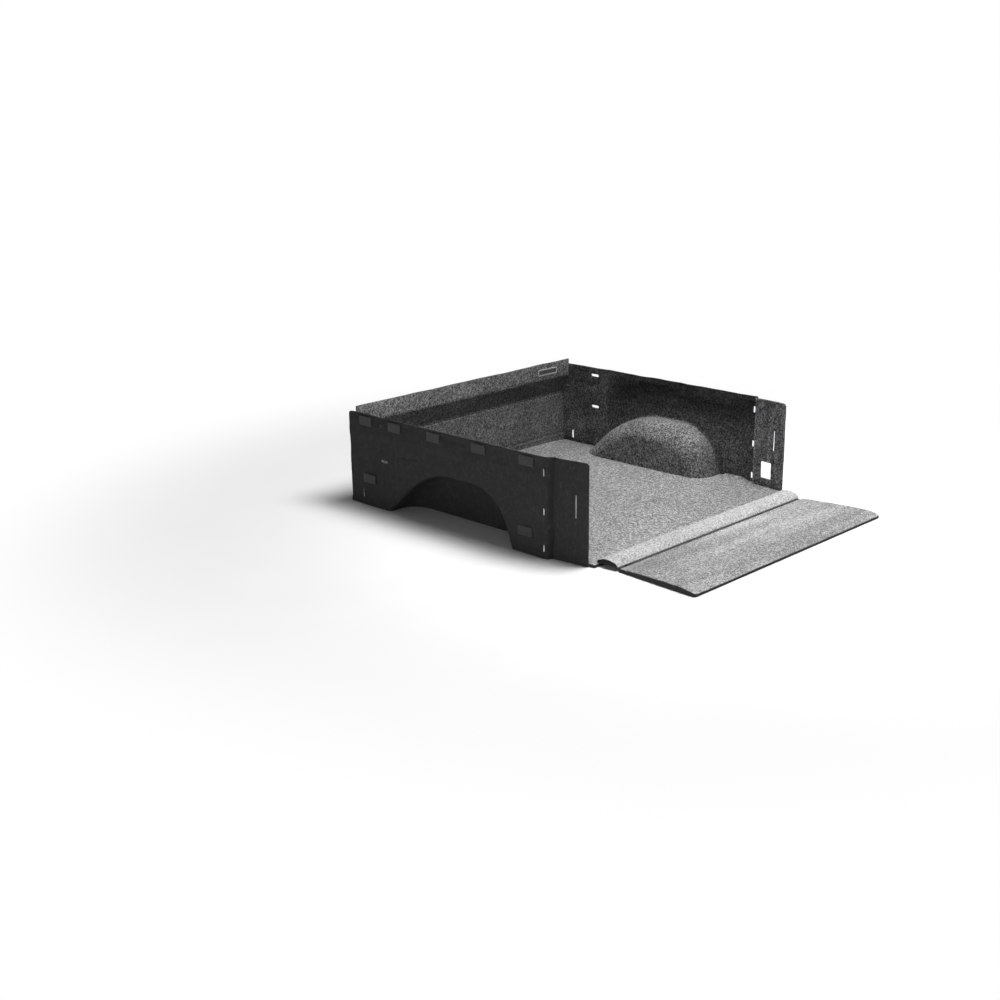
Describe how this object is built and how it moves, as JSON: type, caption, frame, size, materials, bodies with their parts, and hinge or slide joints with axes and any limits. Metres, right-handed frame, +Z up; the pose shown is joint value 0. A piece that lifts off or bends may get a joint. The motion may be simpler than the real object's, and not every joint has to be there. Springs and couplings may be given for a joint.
{
  "type": "truck bed liner",
  "caption": "Carpet-faced foam liner for a pickup bed: floor mat, side panels over the wheel wells, front panel, zip-on gap guard and folding tailgate mat.",
  "frame": {"origin": "middle of the bed floor's rear edge, on the bed floor, which is the underside of the floor mat", "axes": "+X to the passenger side, +Y towards the cab, +Z up; the tailgate mat is drawn with the tailgate down"},
  "size_m": [1.82, 2.38, 0.56],
  "materials": {
    "side_carpet": "needle-punched heather carpet, matte",
    "floor_carpet": "needle-punched heather carpet, matte",
    "guard_carpet": "needle-punched heather carpet, matte",
    "tailgate_carpet": "needle-punched heather carpet, matte",
    "cell_foam": "closed-cell foam, matte",
    "loop_tape": "looped nylon, matte",
    "hook_tape": "hooked nylon, slight sheen",
    "backing_web": "woven backing strip, matte",
    "zip_tape": "woven polyester tape",
    "zip_coil": "nylon coil, low sheen",
    "zip_metal": "black enamel on die-cast metal",
    "patch": "dense woven patch"
  },
  "bodies": {
    "liner_shell": {"floor_pile": "floor_carpet", "floor_foam": "cell_foam", "right_side_pile": "side_carpet", "right_side_foam": "cell_foam", "right_loop_pads": "loop_tape", "right_hook_pads": "hook_tape", "left_side_pile": "side_carpet", "left_side_foam": "cell_foam", "left_loop_pads": "loop_tape", "left_hook_pads": "hook_tape", "front_pile": "side_carpet", "front_foam": "cell_foam", "front_loop_pads": "loop_tape", "front_hook_pads": "hook_tape", "front_patch": "patch"},
    "gap_guard": {"guard_cover": "guard_carpet", "guard_core": "cell_foam", "guard_base": "backing_web"},
    "tailgate_mat": {"tailgate_pile": "tailgate_carpet", "tailgate_foam": "cell_foam", "tailgate_loop_pads": "loop_tape", "tailgate_hook_pads": "hook_tape", "zip_tape_guard": "zip_tape", "zip_tape_mat": "zip_tape", "zip_chain_guard": "zip_coil", "zip_chain_mat": "zip_coil", "zip_stops": "zip_metal"},
    "slider": {"zip_slider": "zip_metal"},
    "pull": {"zip_pull": "zip_metal"}
  },
  "joints": [
    {"name": "guard_slide", "type": "slide", "parent": "liner_shell", "child": "gap_guard", "axis": [0, 1, 0], "range_m": [0, 0.132]},
    {"name": "tailgate_fold", "type": "hinge", "parent": "gap_guard", "child": "tailgate_mat", "pos_m": [0, -0.125, 0.019], "axis": [-1, 0, 0], "range_deg": [0, 90]},
    {"name": "zip_travel", "type": "slide", "parent": "tailgate_mat", "child": "slider", "axis": [1, 0, 0], "range_m": [0, 1.49]},
    {"name": "pull_flip", "type": "hinge", "parent": "slider", "child": "pull", "pos_m": [-0.745, -0.131, 0.0223], "axis": [0, -1, 0], "range_deg": [0, 180]}
  ],
  "couplings": [
    {"joint": "guard_slide", "follows": "tailgate_fold", "m_per_rad": 0.084}
  ]
}
